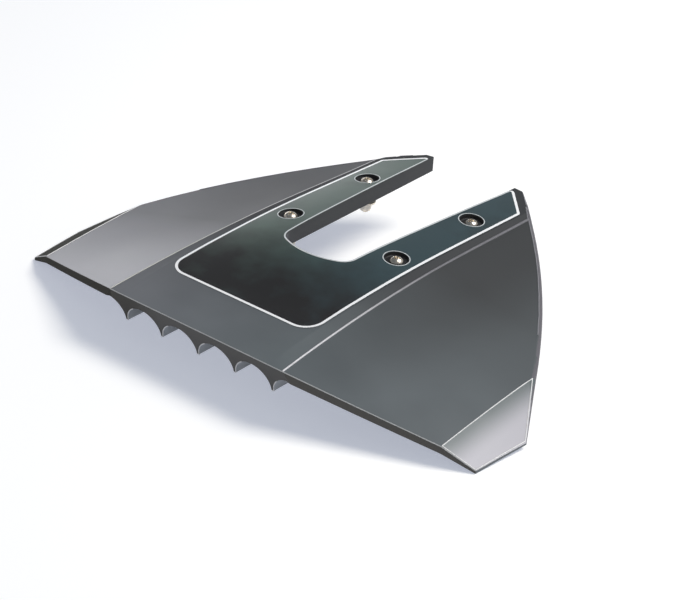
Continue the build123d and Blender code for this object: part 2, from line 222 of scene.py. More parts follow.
class HydrofoilColours(bpy.types.PropertyGroup):
    """Colours of the finishes."""

    # Painted shade: the wings and the deck are painted charcoal ahead and greyer behind
    body_aft: colour_property("Wings, aft", "Grey of the wings, chalked by sun and spray", "#545b5e")
    port_body_aft: colour_property("Port wing, aft", "Neutral grey under its bleached top", "#595a5f")
    body_front: colour_property("Wings, front", "Deeper charcoal of their sheltered front", "#303233")
    deck_aft: colour_property("Deck, aft", "Chalked grey of the deck behind the decal", "#6e7074")
    deck_aft_starboard: colour_property("Deck, aft starboard", "Greener grey of that end", "#666d6f")
    deck_front: colour_property("Deck, front", "Charcoal beside and ahead of the decal", "#2c2e30")
    # Painted light: the port wing's paler grey
    body_bleached: colour_property("Port wing", "Paler grey, bleached by the sun", "#a3a2a7")
    # Painted highlight: the starboard tip's pale grey, green grey by its crease
    body_tip: colour_property("Starboard tip", "Pale scuffed grey of the starboard tip", "#adabb1")
    body_tip_inner: colour_property("Starboard tip, inner", "Green grey next to its crease", "#465353")
    port_tip: colour_property("Port tip", "Dark olive grey, also of the port leading edge", "#2c2c24")
    nose_band: colour_property("Leading edge", "Mauve grey of the starboard band", "#58565b")
    # Painted shade: the trailing edge's darker face
    edge_face: colour_property("Edge face", "Dark olive grey of the trailing edge's face", "#3a3833")
    port_edge_face: colour_property("Edge face, port", "The same face under the port wing", "#3b3932")
    # Painted light: the channels' pale grey
    channel: colour_property("Channels", "Pale grey of the channels, scoured by the water", "#b2b6b8")
    # Painted shade in the screw recesses
    recess_shade: colour_property("Grime", "Dark grime in the screw recesses", "#1a1a1c")
    # Painted highlights: the pale beads, rims and edge lines
    bead: colour_property("Bead", "Pale burnished top of the starboard bead", "#dad8da")
    bead_front: colour_property("Bead, front", "Duller grey of its front end", "#757478")
    port_bead: colour_property("Port bead", "Warmer top of the port crease's bead", "#b9b9af")
    port_bead_front: colour_property("Port bead, front", "Pale grey of its front end", "#b5b4b6")
    rim: colour_property("Rims", "Nearly white rims of the tips and channels", "#e6e5e3")
    edge_line: colour_property("Edge lines", "Pale grey of the lines on the edges", "#b9bab8")
    edge_line_front: colour_property("Edge lines, front", "Darker grey of their front end", "#8c8c90")
    decal_aft: colour_property("Decal, aft", "Black of the decal's aft field", "#1b1918")
    # Painted reflection: the slate of the decal's two arms
    decal_port: colour_property("Decal, port", "Green slate of the decal's port arm", "#43554c")
    decal_front: colour_property("Decal, starboard", "Blue slate of its starboard arm", "#324448")
    ink: colour_property("Border ink", "White printed border", "#fcfcfc")
    line_ink: colour_property("Line ink", "Pale grey printed lines", "#d4d8d8")
    steel: colour_property("Steel", "Stainless steel of the screws", "#e2d9ca")
    nut_ring: colour_property("Locking ring", "Milky blue nylon of the locking rings", "#9fb4cc")
    nut_ring_pale: colour_property("Locking ring, pale", "Its paler clouds", "#b9c8da")
    floor: colour_property("Floor", "Pale floor", "#e9eaf2")


def sizes():
    return bpy.context.scene.hydrofoil_sizes


def colours():
    return bpy.context.scene.hydrofoil_colours


# Places on the object

def nose_circle():
    """Centre and radius, in plan, of the arc that the starboard leading edge follows."""
    start, end = Vector(NOSE_ARM_END), Vector(NOSE_OUTER_END)
    run = end - start
    radius = (run.length ** 2 / 4 + NOSE_BULGE ** 2) / (2 * NOSE_BULGE)
    inward = Vector((run.y, -run.x)).normalized()
    centre = (start + end) / 2 + inward * (radius - NOSE_BULGE)
    return centre, radius


def crease_x(s):
    """Half width between the creases at a distance s ahead of the trailing edge."""
    t = 1.0 - s / CHORD
    return CREASE_HALF_FRONT + (CREASE_HALF_AFT - CREASE_HALF_FRONT) * t * t


def crease_end():
    """Where the crease meets the rounded band of the leading edge, ahead of the trailing edge."""
    centre, radius = nose_circle()
    s = CHORD
    while (Vector((crease_x(s), s)) - centre).length > radius - NOSE_BAND:
        s -= CREASE_STEP
    return s


def screw_places():
    """Centre of each screw in plan, from the screws' own boxes."""
    places = {}
    for corner in CORNERS:
        low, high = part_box(f"bolt_{corner}")
        places[corner] = ((low.x + high.x) / 2, (low.y + high.y) / 2)
    return places


def clear_of_recesses(place):
    """Whether a place lies outboard or ahead of the screw recesses."""
    screw_x, screw_y = screw_places()["starboard_front"]
    return abs(place.x) > screw_x + RECESS_REACH or place.y > screw_y + RECESS_REACH


def beside_slot(point):
    """Whether a point of the decal's edge lies along the slot."""
    s = point.y - TE_Y
    splay = (SLOT_HALF_FRONT - SLOT_HALF_AFT) / (CHORD - SLOT_END)
    half = SLOT_HALF_AFT + splay * max(s - SLOT_END, 0.0)
    return s > SLOT_END - SLOT_MARGIN_AFT and abs(point.x) < half + SLOT_MARGIN_SIDE


def on_top(node, x, y):
    """The highest point of a CAD node at a place in plan."""
    hit, point, _, _ = node.ray_cast(Vector((x, y, RAY_START)), Vector((0.0, 0.0, -1.0)))
    if not hit:
        raise RuntimeError(f"nothing of {node.name} lies under x {x:.4f}, y {y:.4f}")
    return point


def spread(first, last, steps):
    """Evenly spaced values from first to last, both included."""
    return [first + (last - first) * i / steps for i in range(steps + 1)]


# Modelling helpers

def start_fresh():
    """Object mode with nothing selected, so an operator acts on its own piece alone."""
    if bpy.context.object and bpy.context.object.mode != "OBJECT":
        bpy.ops.object.mode_set(mode="OBJECT")
    bpy.ops.object.select_all(action="DESELECT")


def dress(piece, material):
    """Give a piece one material in place of what it had."""
    piece.data.materials.clear()
    piece.data.materials.append(material)


def finish_piece(piece, name, material):
    """Put the place into the mesh, name the piece, tie it to the body and give it its material."""
    start_fresh()
    bpy.context.view_layer.objects.active = piece
    piece.select_set(True)
    bpy.ops.object.transform_apply(location=True, rotation=True, scale=True)
    piece.name = name
    piece.data.name = name
    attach(piece, "root")
    dress(piece, material)
    piece.select_set(False)


def apply_modifier(piece, kind, **settings):
    """Add a modifier with its settings and apply it at once."""
    bpy.context.view_layer.objects.active = piece
    modifier = piece.modifiers.new(kind.title(), kind)
    for key, value in settings.items():
        setattr(modifier, key, value)
    bpy.ops.object.modifier_apply(modifier=modifier.name)


def swept_bead(path, radius, end_radius):
    """A round bead: a small disc at the path's first point, extruded and grown from point to point."""
    start_fresh()
    heading = (path[1] - path[0]).normalized()
    turn = heading.to_track_quat("Z", "Y").to_euler()
    bpy.ops.mesh.primitive_circle_add(
        vertices=BEAD_SIDES, radius=radius, fill_type="NGON", location=path[0], rotation=turn
    )
    piece = bpy.context.object
    bpy.ops.object.mode_set(mode="EDIT")
    bpy.ops.mesh.select_all(action="SELECT")
    growth = (end_radius / radius) ** (1.0 / (len(path) - 1))
    for before, after in zip(path, path[1:]):
        bpy.ops.mesh.extrude_region_move(TRANSFORM_OT_translate={"value": tuple(after - before)})
        bpy.ops.transform.resize(value=(growth, growth, growth), center_override=tuple(after))
    bpy.ops.mesh.select_all(action="SELECT")
    bpy.ops.mesh.remove_doubles(threshold=MERGE_DISTANCE)
    bpy.ops.mesh.normals_make_consistent(inside=False)
    bpy.ops.object.mode_set(mode="OBJECT")
    bpy.ops.object.shade_smooth_by_angle(angle=SMOOTH_ANGLE)
    bpy.ops.object.transform_apply(location=True, rotation=True, scale=True)
    return piece


def crease_bead(label, side, radius, end_radius, material):
    """The half-sunk bead along one crease, from the trailing edge to the arm."""
    stations = spread(EDGE_INSET, crease_end(), CREASE_STEPS)
    path = [on_top(BODY, side * crease_x(s), TE_Y + s) for s in stations]
    finish_piece(swept_bead(path, radius, end_radius), f"crease_bead_{label}", material)


def tip_rim(label, side, material):
    """The bead round one tip: a run between each two corners, joined as one piece."""
    radius = sizes().rim_radius
    runs = []
    for (x0, s0), (x1, s1) in zip(TIP_RIM, TIP_RIM[1:]):
        places = zip(spread(x0, x1, RIM_STEPS), spread(s0, s1, RIM_STEPS))
        runs.append(swept_bead([on_top(BODY, side * x, TE_Y + s) for x, s in places], radius, radius))
    start_fresh()
    for run in runs:
        run.select_set(True)
    bpy.context.view_layer.objects.active = runs[0]
    bpy.ops.object.join()
    finish_piece(runs[0], f"tip_rim_{label}", material)


def select_where(piece, kind, test):
    """In edit mode, select only the faces, edges or points that pass a test, and count them."""
    mesh = bmesh.from_edit_mesh(piece.data)
    for item in list(mesh.faces) + list(mesh.edges) + list(mesh.verts):
        item.select = False
    chosen = [item for item in getattr(mesh, kind) if test(item)]
    for item in chosen:
        item.select_set(True)
    bmesh.update_edit_mesh(piece.data)
    return len(chosen)


def merged_copy(source):
    """A copy of a CAD node in edit mode, with its loose triangles merged."""
    start_fresh()
    piece = bpy.data.objects.new("copy", source.data.copy())
    bpy.context.scene.collection.objects.link(piece)
    bpy.context.view_layer.objects.active = piece
    piece.select_set(True)
    bpy.ops.object.mode_set(mode="EDIT")
    bpy.ops.mesh.select_all(action="SELECT")
    bpy.ops.mesh.remove_doubles(threshold=MERGE_DISTANCE)
    return piece


def on_trailing_edge(edge, aft, top):
    """The upper edge of the trailing edge's face, from the port crease to the starboard tip."""
    return (
        aft.normal.y < FACES_AFT and top.normal.z > FACES_UP
        and min(vert.co.x for vert in edge.verts) > -CREASE_HALF_AFT - EDGE_TOLERANCE
        and max(vert.co.y for vert in edge.verts) < TE_Y + TE_REACH
    )


def on_leading_edge(edge, band, top):
    """Where a wing's flat top breaks into the leading edge's rounded band."""
    return (
        top.normal.z > LIES_FLAT and top.normal.y < LEANS_AHEAD and band.normal.y > FACES_AHEAD
        and min(abs(vert.co.x) for vert in edge.verts) > NOSE_ARM_END[0]
        and max(abs(vert.co.x) for vert in edge.verts) < TIP_CREASE_HALF
        and all(clear_of_recesses(vert.co) for vert in edge.verts)
    )


def on_channel_rim(edge, aft, inner):
    """The aft rim of a channel's roof and of its port wall."""
    return (
        aft.normal.y < FACES_AFT and inner.normal.x > -SLANT and abs(inner.normal.y) < SLANT
        and max(abs(vert.co.x) for vert in edge.verts) < FINS_HALF
        and max(vert.co.z for vert in edge.verts) < CHANNEL_TOP
    )


def edge_line(name, keep, radius, material):
    """A fine round line along the body's edges whose two faces pass a test, either way round."""
    def picked(edge):
        if len(edge.link_faces) != 2:
            return False
        first, second = edge.link_faces
        return keep(edge, first, second) or keep(edge, second, first)

    piece = merged_copy(BODY)
    if not select_where(piece, "edges", picked):
        raise RuntimeError(f"no edge of the body is left for {name}")
    select_where(piece, "edges", lambda edge: not picked(edge))
    bpy.ops.mesh.delete(type="EDGE")
    bpy.ops.mesh.select_all(action="SELECT")
    bpy.ops.mesh.delete_loose(use_verts=True, use_edges=False, use_faces=False)
    bpy.ops.object.mode_set(mode="OBJECT")
    bpy.ops.object.convert(target="CURVE")
    piece = bpy.context.object
    piece.data.bevel_depth = radius
    piece.data.bevel_resolution = 1
    piece.data.use_fill_caps = True
    bpy.ops.object.convert(target="MESH")
    piece = bpy.context.object
    bpy.ops.object.shade_smooth()
    finish_piece(piece, name, material)


def decal_edge_loop():
    """The decal's outer edge as one closed loop, in steps short enough to follow the deck."""
    piece = merged_copy(DECAL)
    select_where(piece, "faces", lambda face: face.normal.z < FACES_UP)
    bpy.ops.mesh.delete(type="FACE")
    select_where(piece, "edges", lambda edge: not edge.is_boundary)
    bpy.ops.mesh.delete(type="EDGE")
    screws = [Vector(place) for place in screw_places().values()]
    select_where(
        piece, "verts",
        lambda vert: min((vert.co.xy - screw).length for screw in screws) < RECESS_REACH,
    )
    bpy.ops.mesh.delete(type="VERT")
    while select_where(piece, "edges", lambda edge: edge.calc_length() > PRINT_STEP):
        bpy.ops.mesh.subdivide(number_cuts=1)
    bpy.ops.mesh.select_all(action="SELECT")
    return piece


def lay_print(piece, name, material):
    """Lower a band on the decal from just above it, and give it the thickness of a print."""
    bpy.ops.mesh.select_all(action="SELECT")
    bpy.ops.transform.translate(value=(0.0, 0.0, PRINT_DROP))
    bpy.ops.object.mode_set(mode="OBJECT")
    apply_modifier(piece, "SHRINKWRAP", target=DECAL, wrap_method="NEAREST_SURFACEPOINT")
    bpy.ops.object.mode_set(mode="EDIT")
    bpy.ops.mesh.select_all(action="SELECT")
    if sum(face.normal.z for face in bmesh.from_edit_mesh(piece.data).faces) < 0.0:
        bpy.ops.mesh.flip_normals()
    bpy.ops.transform.translate(value=(0.0, 0.0, PRINT_LIFT))
    bpy.ops.object.mode_set(mode="OBJECT")
    apply_modifier(piece, "SOLIDIFY", thickness=sizes().print_height, offset=1.0)
    finish_piece(piece, name, material)


def printed_band(name, width, keep, material):
    """A printed band inside the decal's edge: the loop filled, inset, and its middle deleted."""
    piece = decal_edge_loop()
    bpy.ops.mesh.edge_face_add()
    bpy.ops.mesh.inset(thickness=PRINT_MARGIN, use_even_offset=True)
    bpy.ops.mesh.select_all(action="INVERT")
    bpy.ops.mesh.delete(type="FACE")
    bpy.ops.mesh.select_all(action="SELECT")
    bpy.ops.mesh.inset(thickness=width, use_even_offset=True)
    bpy.ops.mesh.delete(type="FACE")
    select_where(piece, "faces", lambda face: not keep(face.calc_center_median()))
    bpy.ops.mesh.delete(type="FACE")
    lay_print(piece, name, material)


def recess_ring(name, place, material):
    """A printed ring round a screw recess, each of its points lowered onto the decal below it."""
    start_fresh()
    width = sizes().ring_width
    bpy.ops.mesh.primitive_circle_add(
        vertices=RING_SIDES, radius=RECESS_REACH + width, fill_type="NGON", location=(*place, 0.0)
    )
    ring = bpy.context.object
    bpy.ops.object.transform_apply(location=True)
    bpy.ops.object.mode_set(mode="EDIT")
    bpy.ops.mesh.select_all(action="SELECT")
    bpy.ops.mesh.inset(thickness=width, use_even_offset=True)
    bpy.ops.mesh.delete(type="FACE")
    for vert in bmesh.from_edit_mesh(ring.data).verts:
        vert.co = on_top(DECAL, vert.co.x, vert.co.y)
    bmesh.update_edit_mesh(ring.data)
    lay_print(ring, name, material)


# Materials

def add_node(tree, kind, settings=None, inputs=None):
    """Add a node with its settings, and its inputs as values or as links from other sockets.

    An input is keyed by its name, or by its number where sockets share a name.
    """
    node = tree.nodes.new(kind)
    for key, value in (settings or {}).items():
        setattr(node, key, value)
    for key, value in (inputs or {}).items():
        if isinstance(value, bpy.types.NodeSocket):
            tree.links.new(value, node.inputs[key])
        else:
            node.inputs[key].default_value = value
    return node


def new_material(name):
    """An empty node material, and the tree that its finish is drawn in."""
    material = bpy.data.materials.new(name)
    material.use_nodes = True
    material.node_tree.nodes.clear()
    return material, material.node_tree


def finish_material(tree, shader):
    add_node(tree, "ShaderNodeOutputMaterial", inputs={"Surface": shader.outputs["BSDF"]})


def screw_distance(tree, place):
    """Distance in plan from the axis of the nearest screw."""
    offsets = {}
    for axis, centre in zip("XY", screw_places()["starboard_front"]):
        folded = add_node(tree, "ShaderNodeMath", {"operation": "ABSOLUTE"}, {0: place.outputs[axis]})
        offset = add_node(
            tree, "ShaderNodeMath", {"operation": "SUBTRACT"}, {0: folded.outputs[0], 1: centre}
        )
        offsets[axis] = offset.outputs[0]
    flat = add_node(tree, "ShaderNodeCombineXYZ", inputs=offsets)
    reach = add_node(tree, "ShaderNodeVectorMath", {"operation": "LENGTH"}, {0: flat.outputs[0]})
    return reach.outputs["Value"]


def body_shares(tree, place, facing):
    """Shares from 0 to 1, by name, that tell the body's regions, its painted shade and its painted light
    apart.
    """
    across, along = place.outputs["X"], place.outputs["Y"]
    half = add_node(tree, "ShaderNodeMath", {"operation": "ABSOLUTE"}, {0: across}).outputs[0]
    # Half width between the creases, which part the deck from the wings
    behind = add_node(
        tree, "ShaderNodeMapRange",
        inputs={"Value": along, "From Min": TE_Y, "From Max": TE_Y + CHORD, "To Min": 1.0, "To Max": 0.0},
    ).outputs[0]
    squared = add_node(tree, "ShaderNodeMath", {"operation": "MULTIPLY"}, {0: behind, 1: behind}).outputs[0]
    crease = add_node(
        tree, "ShaderNodeMath", {"operation": "MULTIPLY_ADD"},
        {0: squared, 1: CREASE_HALF_AFT - CREASE_HALF_FRONT, 2: CREASE_HALF_FRONT},
    ).outputs[0]
    # Each ramp runs along a place, from the first place to the second, and from one share to another
    # Several ramps place painted shade ahead and painted light on the port wing and the starboard tip
    ramps = (
        ("deck_front", "LINEAR", along, TE_Y + 15 * MM, TE_Y + 170 * MM, 0.0, 1.0),
        ("deck_starboard", "LINEAR", across, -CREASE_HALF_AFT, CREASE_HALF_AFT, 0.0, 1.0),
        ("wing_front", "LINEAR", along, TE_Y, TE_Y + 215 * MM, 0.0, 1.0),
        ("wing_outer", "SMOOTHSTEP", half, 120 * MM, 215 * MM, 0.0, 0.5),
        # Painted light on the port wing, fading towards the front
        ("lighting", "LINEAR", along, TE_Y + 30 * MM, TE_Y + 150 * MM, 0.97, 0.12),
        # Painted highlight on the starboard tip, outwards from its crease
        ("tip_highlight", "SMOOTHSTEP", across, TIP_CREASE_HALF - 2 * MM, TIP_CREASE_HALF + 21 * MM, 0.0, 1.0),
        ("edge_starboard", "LINEAR", across, -CREASE_HALF_AFT, -FINS_HALF, 0.0, 1.0),
        ("shoulder", "LINEAR", across, -40 * MM, -75 * MM, 0.0, 0.55),
    )
    shares = {}
    for name, kind, value, start, end, low, high in ramps:
        ramp = add_node(
            tree, "ShaderNodeMapRange", {"interpolation_type": kind},
            {"Value": value, "From Min": start, "From Max": end, "To Min": low, "To Max": high},
        )
        shares[name] = ramp.outputs[0]
    # Each step works on places, numbers or, by name, on shares that come before it
    steps = (
        ("port", "LESS_THAN", across, 0.0),
        ("wing", "GREATER_THAN", half, crease),
        # Painted shade on the wings' front, less towards the outer wings
        ("shaded", "SUBTRACT", "wing_front", "wing_outer"),
        # Painted light on the port wing, fading towards the front
        ("lightened", "MULTIPLY", "lighting", "port"),
        ("outer", "GREATER_THAN", half, TIP_CREASE_HALF),
        ("upward", "GREATER_THAN", facing.outputs["Z"], FACES_UP),
        ("tip_top", "MULTIPLY", "outer", "upward"),
        ("forward", "GREATER_THAN", facing.outputs["Y"], FACES_AHEAD),
        ("off_arm", "GREATER_THAN", half, ARM_SIDE),
        ("band", "MULTIPLY", "forward", "off_arm"),
        # Painted light in the channels between the fins
        ("low", "LESS_THAN", place.outputs["Z"], CHANNEL_TOP),
        ("between_fins", "LESS_THAN", half, FINS_HALF),
        ("channel", "MULTIPLY", "low", "between_fins"),
        ("aft_face", "LESS_THAN", facing.outputs["Y"], SHADED_AFT),
        # Painted shade in the screw recesses
        ("recess", "LESS_THAN", screw_distance(tree, place), RECESS_RADIUS + EDGE_TOLERANCE),
        # What stays matt: the port side's rims and tip, and the deck's port shoulder
        ("wing_edge", "MULTIPLY", "aft_face", "wing"),
        ("rims", "MAXIMUM", "wing_edge", "band"),
        ("film", "MAXIMUM", "tip_top", "rims"),
        ("port_film", "MULTIPLY", "film", "port"),
        ("port_shoulder", "SUBTRACT", "shoulder", "wing"),
        ("matt", "MAXIMUM", "port_film", "port_shoulder"),
    )
    for name, operation, *sources in steps:
        values = [shares[source] if isinstance(source, str) else source for source in sources]
        step = add_node(
            tree, "ShaderNodeMath", {"operation": operation, "use_clamp": True}, dict(enumerate(values))
        )
        shares[name] = step.outputs[0]
    return shares


def body_colour(tree, shares):
    """Colour of the body: each row mixes two colours by a share, and a name stands for an earlier row."""
    palette = colours()
    rows = (
        # Painted shade: charcoal ahead, greyer behind and towards the outer wings
        ("deck", "deck_starboard", palette.deck_aft, palette.deck_aft_starboard),
        ("deck", "deck_front", "deck", palette.deck_front),
        ("wing", "port", palette.body_aft, palette.port_body_aft),
        ("wing", "shaded", "wing", palette.body_front),
        # Painted light makes the port wing paler than the starboard one, most of all aft
        ("wing", "lightened", "wing", palette.body_bleached),
        ("skin", "wing", "deck", "wing"),
        # Painted highlight: the starboard tip is painted pale outwards from its crease; the port tip is
        # painted dark olive grey
        ("tip", "tip_highlight", palette.body_tip_inner, palette.body_tip),
        ("tip", "port", "tip", palette.port_tip),
        ("skin", "tip_top", "skin", "tip"),
        # The leading edge's rounded band is painted mauve grey to starboard and dark olive grey to port
        ("band", "port", palette.nose_band, palette.port_tip),
        ("skin", "band", "skin", "band"),
        # Painted light: the channels between the fins are painted pale
        ("skin", "channel", "skin", palette.channel),
        # Painted shade: the trailing edge's face is painted darker, with its own colour under the port wing
        ("edge", "edge_starboard", palette.port_edge_face, palette.edge_face),
        ("skin", "aft_face", "skin", "edge"),
        # Painted shade darkens the four screw recesses
        ("skin", "recess", "skin", palette.recess_shade),
    )
    made = {}
    for name, share, *ends in rows:
        first, second = [made[end] if isinstance(end, str) else end for end in ends]
        mixed = add_node(
            tree, "ShaderNodeMix", {"data_type": "RGBA"},
            {"Factor": shares[share], MIX_A: first, MIX_B: second},
        )
        made[name] = mixed.outputs[MIX_RESULT]
    return made["skin"]


def moulded_nylon():
    """Glass-filled nylon, injection moulded in a spark-eroded tool: an even satin with a fine grain."""
    material, tree = new_material("Moulded glass-filled nylon")
    coords = add_node(tree, "ShaderNodeTexCoord")
    place = add_node(tree, "ShaderNodeSeparateXYZ", inputs={0: coords.outputs["Object"]})
    facing = add_node(tree, "ShaderNodeSeparateXYZ", inputs={0: coords.outputs["Normal"]})
    shares = body_shares(tree, place, facing)
    # Glass fibres cloud the surface in soft patches, in its colour and its gloss
    cloud = add_node(
        tree, "ShaderNodeTexNoise",
        inputs={"Vector": coords.outputs["Object"], "Scale": 1 / NYLON_CLOUD, "Detail": 3.0},
    )
    shade = add_node(
        tree, "ShaderNodeMapRange",
        inputs={
            "Value": cloud.outputs["Fac"],
            "From Min": NOISE_LOW, "From Max": NOISE_HIGH, "To Min": 0.93, "To Max": 1.07,
        },
    )
    clouded = add_node(
        tree, "ShaderNodeVectorMath", {"operation": "SCALE"},
        {0: body_colour(tree, shares), "Scale": shade.outputs[0]},
    )
    # Spark-eroded grain is about 0.3 mm; drawn at 1.2 mm so that it shows in the render
    grain = add_node(
        tree, "ShaderNodeTexNoise",
        inputs={"Vector": coords.outputs["Object"], "Scale": 1 / NYLON_GRAIN, "Detail": 2.0},
    )
    bump = add_node(
        tree, "ShaderNodeBump",
        inputs={"Strength": 0.12, "Distance": 0.1 * MM, "Height": grain.outputs["Fac"]},
    )
    # Spray polishes the aft half; the front, the port side's film and the port shoulder stay matt
    satin = add_node(
        tree, "ShaderNodeMapRange",
        inputs={
            "Value": place.outputs["Y"],
            "From Min": TE_Y + 40 * MM, "From Max": TE_Y + 260 * MM, "To Min": 0.40, "To Max": 0.62,
        },
    )
    patches = add_node(
        tree, "ShaderNodeMapRange",
        inputs={
            "Value": cloud.outputs["Fac"],
            "From Min": NOISE_LOW, "From Max": NOISE_HIGH, "To Min": -0.04, "To Max": 0.04,
        },
    )
    uneven = add_node(
        tree, "ShaderNodeMath", {"operation": "ADD"}, {0: satin.outputs[0], 1: patches.outputs[0]}
    )
    rough = add_node(
        tree, "ShaderNodeMix", {"data_type": "FLOAT"},
        {"Factor": shares["matt"], "A": uneven.outputs[0], "B": 1.0},
    )
    shader = add_node(
        tree, "ShaderNodeBsdfPrincipled",
        inputs={
            "Base Color": clouded.outputs[0], "Roughness": rough.outputs[0],
            "IOR": 1.5, "Normal": bump.outputs[0],
        },
    )
    finish_material(tree, shader)
    return material


def gloss_vinyl():
    """Printed vinyl under a clear gloss film: a black field, painted slate along the two arms as a painted
    reflection.
    """
    material, tree = new_material("Printed vinyl, gloss laminate")
    palette = colours()
    coords = add_node(tree, "ShaderNodeTexCoord")
    place = add_node(tree, "ShaderNodeSeparateXYZ", inputs={0: coords.outputs["Object"]})
    forward = add_node(
        tree, "ShaderNodeMapRange", {"interpolation_type": "SMOOTHSTEP"},
        {
            "Value": place.outputs["Y"],
            "From Min": TE_Y + 60 * MM, "From Max": TE_Y + 185 * MM, "To Min": 0.0, "To Max": 1.0,
        },
    )
    starboardward = add_node(
        tree, "ShaderNodeMapRange",
        inputs={
            "Value": place.outputs["X"],
            "From Min": -50 * MM, "From Max": 50 * MM, "To Min": 0.0, "To Max": 1.0,
        },
    )
    slate = add_node(
        tree, "ShaderNodeMix", {"data_type": "RGBA"},
        {"Factor": starboardward.outputs[0], MIX_A: palette.decal_port, MIX_B: palette.decal_front},
    )
    # The black gives way to the slate, a painted reflection, in soft patches
    cloud = add_node(
        tree, "ShaderNodeTexNoise",
        inputs={"Vector": coords.outputs["Object"], "Scale": 1 / VINYL_CLOUD, "Detail": 3.0},
    )
    drift = add_node(
        tree, "ShaderNodeMapRange",
        inputs={
            "Value": cloud.outputs["Fac"],
            "From Min": NOISE_LOW, "From Max": NOISE_HIGH, "To Min": -0.3, "To Max": 0.2,
        },
    )
    share = add_node(
        tree, "ShaderNodeMath", {"operation": "ADD", "use_clamp": True},
        {0: forward.outputs[0], 1: drift.outputs[0]},
    )
    colour = add_node(
        tree, "ShaderNodeMix", {"data_type": "RGBA"},
        {"Factor": share.outputs[0], MIX_A: palette.decal_aft, MIX_B: slate.outputs[MIX_RESULT]},
    )
    # The film's orange peel
    peel = add_node(
        tree, "ShaderNodeTexNoise",
        inputs={"Vector": coords.outputs["Object"], "Scale": 1 / VINYL_PEEL, "Detail": 1.0},
    )
    bump = add_node(
        tree, "ShaderNodeBump",
        inputs={"Strength": 0.04, "Distance": 0.1 * MM, "Height": peel.outputs["Fac"]},
    )
    shader = add_node(
        tree, "ShaderNodeBsdfPrincipled",
        inputs={
            "Base Color": colour.outputs[MIX_RESULT], "Roughness": 0.38, "IOR": 1.45,
            "Coat Weight": 0.25, "Coat Roughness": 0.2, "Normal": bump.outputs[0],
        },
    )
    finish_material(tree, shader)
    return material


def printed_ink(name, colour, roughness):
    """Screen-printed ink: an opaque layer with a faint mottle from the mesh."""
    material, tree = new_material(name)
    coords = add_node(tree, "ShaderNodeTexCoord")
    mottle = add_node(
        tree, "ShaderNodeTexNoise",
        inputs={"Vector": coords.outputs["Object"], "Scale": 1 / INK_MOTTLE, "Detail": 2.0},
    )
    shade = add_node(
        tree, "ShaderNodeMapRange",
        inputs={
            "Value": mottle.outputs["Fac"],
            "From Min": NOISE_LOW, "From Max": NOISE_HIGH, "To Min": 0.97, "To Max": 1.0,
        },
    )
    mottled = add_node(
        tree, "ShaderNodeVectorMath", {"operation": "SCALE"}, {0: colour[:3], "Scale": shade.outputs[0]}
    )
    shader = add_node(
        tree, "ShaderNodeBsdfPrincipled", inputs={"Base Color": mottled.outputs[0], "Roughness": roughness}
    )
    finish_material(tree, shader)
    return material


def highlight_bead(name, aft_colour, front_colour):
    """Nylon painted pale along a bead, a painted highlight, in one colour aft and another towards the arms.
    """
    material, tree = new_material(name)
    coords = add_node(tree, "ShaderNodeTexCoord")
    place = add_node(tree, "ShaderNodeSeparateXYZ", inputs={0: coords.outputs["Object"]})
    fade = add_node(
        tree, "ShaderNodeMapRange", {"interpolation_type": "SMOOTHSTEP"},
        {
            "Value": place.outputs["Y"],
            "From Min": TE_Y + 10 * MM, "From Max": TE_Y + 0.6 * CHORD, "To Min": 0.0, "To Max": 1.0,
        },
    )
    colour = add_node(
        tree, "ShaderNodeMix", {"data_type": "RGBA"},
        {"Factor": fade.outputs[0], MIX_A: aft_colour, MIX_B: front_colour},
    )
    scuffs = add_node(
        tree, "ShaderNodeTexNoise",
        inputs={"Vector": coords.outputs["Object"], "Scale": 1 / BEAD_SCUFF, "Detail": 3.0},
    )
    shade = add_node(
        tree, "ShaderNodeMapRange",
        inputs={
            "Value": scuffs.outputs["Fac"],
            "From Min": NOISE_LOW, "From Max": NOISE_HIGH, "To Min": 0.9, "To Max": 1.05,
        },
    )
    worn = add_node(
        tree, "ShaderNodeVectorMath", {"operation": "SCALE"},
        {0: colour.outputs[MIX_RESULT], "Scale": shade.outputs[0]},
    )
    shader = add_node(
        tree, "ShaderNodeBsdfPrincipled", inputs={"Base Color": worn.outputs[0], "Roughness": 0.32}
    )
    finish_material(tree, shader)
    return material


def turned_steel(name, roughness, pitch):
    """Stainless steel with the fine rings that a lathe or a press leaves round each screw's axis."""
    material, tree = new_material(name)
    coords = add_node(tree, "ShaderNodeTexCoord")
    place = add_node(tree, "ShaderNodeSeparateXYZ", inputs={0: coords.outputs["Object"]})
    phase = add_node(
        tree, "ShaderNodeMath", {"operation": "MULTIPLY"},
        {0: screw_distance(tree, place), 1: 2 * math.pi / pitch},
    )
    rings = add_node(tree, "ShaderNodeMath", {"operation": "SINE"}, {0: phase.outputs[0]})
    smudge = add_node(
        tree, "ShaderNodeTexNoise",
        inputs={"Vector": coords.outputs["Object"], "Scale": 1 / STEEL_SMUDGE, "Detail": 3.0},
    )
    rough = add_node(
        tree, "ShaderNodeMapRange",
        inputs={
            "Value": smudge.outputs["Fac"], "From Min": NOISE_LOW, "From Max": NOISE_HIGH,
            "To Min": roughness * 0.8, "To Max": roughness * 1.3,
        },
    )
    bump = add_node(
        tree, "ShaderNodeBump",
        inputs={"Strength": 0.15, "Distance": 0.02 * MM, "Height": rings.outputs[0]},
    )
    shader = add_node(
        tree, "ShaderNodeBsdfPrincipled",
        inputs={
            "Base Color": colours().steel, "Metallic": 1.0,
            "Roughness": rough.outputs[0], "Normal": bump.outputs[0],
        },
    )
    finish_material(tree, shader)
    return material


